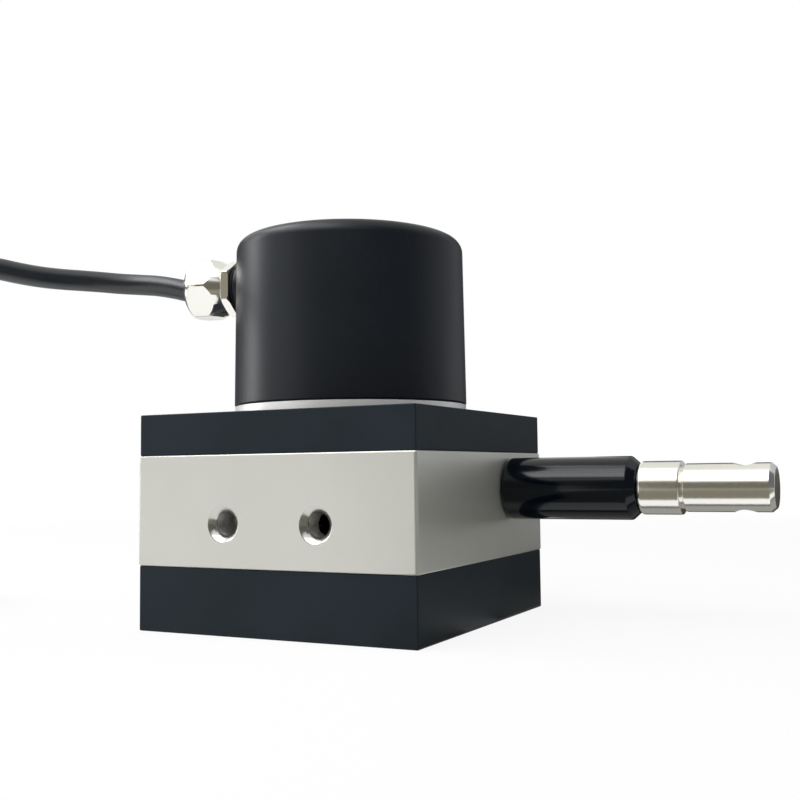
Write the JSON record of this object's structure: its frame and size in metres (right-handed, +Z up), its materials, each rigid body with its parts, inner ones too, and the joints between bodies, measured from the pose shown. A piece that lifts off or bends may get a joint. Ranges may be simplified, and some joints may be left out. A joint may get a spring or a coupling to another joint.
{
  "type": "draw wire encoder",
  "caption": "Draw wire encoder: square layered body with a spring drum, round encoder on top, wire outlet tube with eye end, and a signal cable.",
  "frame": {"origin": "middle of the flat base face of the square body", "axes": "+X along the draw wire as it is pulled out, +Z up from the base through the encoder, -Y is the face with the two threaded holes"},
  "size_m": [0.2279, 0.0917, 0.0774],
  "materials": {
    "black_plate": "satin",
    "black_cap": "matt",
    "silver_body": "fine satin",
    "bright_drum": "turned",
    "black_tube": "glossy",
    "nickel": "polished nickel",
    "steel": "ground",
    "screw_steel": "zinc plated",
    "dark_screw": "blackened",
    "spring_steel": "blued",
    "brass": "turned",
    "black_rubber": "matt",
    "ceramic": "polished",
    "felt": "felt",
    "disc_metal": "clear",
    "board_green": "solder mask",
    "chip_black": "matt",
    "terminal_plastic": "matt",
    "core_insulation": "matt",
    "cable_sheath": "satin",
    "strap_black": "satin"
  },
  "bodies": {
    "housing": {"spring_cover": "black_plate", "cover_screws": "screw_steel", "cover_seal": "black_rubber", "power_spring": "spring_steel", "spring_anchor_pin": "steel", "housing": "silver_body", "lower_bearing_outer_ring": "steel", "upper_bearing_outer_ring": "steel", "top_plate": "black_plate", "plate_screws": "screw_steel", "flange_screws": "screw_steel", "encoder_flange": "silver_body", "encoder_bearing_outer_rings": "steel", "light_source": "chip_black", "photo_detector": "chip_black", "lower_pillars": "brass", "encoder_board": "board_green", "board_chips": "chip_black", "terminal_block": "terminal_plastic", "upper_pillars": "brass", "encoder_cap": "black_cap", "cap_seal": "black_rubber", "cap_screws": "screw_steel", "gland_washer": "black_rubber", "gland_body": "nickel", "gland_seal": "black_rubber", "gland_nut": "nickel", "core_leads": "core_insulation", "outlet_tube": "black_tube", "tube_seal": "black_rubber", "wire_guide": "ceramic", "wire_wiper": "felt", "nose_buffer": "black_rubber", "cable": "cable_sheath", "cable_coil": "cable_sheath", "cable_leads": "core_insulation", "coil_ties": "strap_black"},
    "rotor": {"spring_arbor": "brass", "arbor_set_screw": "dark_screw", "lower_bearing_inner_ring": "steel", "lower_spacer": "brass", "drum": "bright_drum", "drum_pin": "steel", "drum_shaft": "steel", "wound_wire": "steel", "upper_spacer": "brass", "upper_bearing_inner_ring": "steel", "shaft_coupling": "bright_drum", "coupling_set_screws": "dark_screw", "encoder_shaft": "steel", "encoder_bearing_inner_rings": "steel", "disc_hub": "brass", "code_disc": "disc_metal"},
    "ball_sets": {"lower_bearing_balls": "steel", "upper_bearing_balls": "steel", "encoder_bearing_balls": "steel"},
    "wire": {"draw_wire": "steel", "wire_ferrule": "nickel"},
    "fitting": {"fitting_collar": "nickel", "eye_end": "nickel"}
  },
  "joints": [
    {"name": "wire_pull", "type": "slide", "parent": "housing", "child": "wire", "axis": [1, 0, 0], "range_m": [0, 1], "stiffness_N_per_m": 2, "springref_m": -1.5, "deforming": ["draw_wire"]},
    {"name": "drum_spin", "type": "hinge", "parent": "housing", "child": "rotor", "pos_m": [0, 0, 0.0253], "axis": [0, 0, 1], "range_deg": [-4700, 0], "deforming": ["power_spring"]},
    {"name": "ball_sets_spin", "type": "hinge", "parent": "housing", "child": "ball_sets", "pos_m": [0, 0, 0.0253], "axis": [0, 0, 1], "range_deg": [-1950, 0]},
    {"name": "fitting_turn", "type": "hinge", "parent": "wire", "child": "fitting", "pos_m": [0.06, 0.0122, 0.0259], "axis": [1, 0, 0], "continuous": true}
  ],
  "couplings": [
    {"joint": "drum_spin", "follows": "wire_pull", "rad_per_m": -81.967},
    {"joint": "ball_sets_spin", "follows": "wire_pull", "rad_per_m": -33.877}
  ]
}
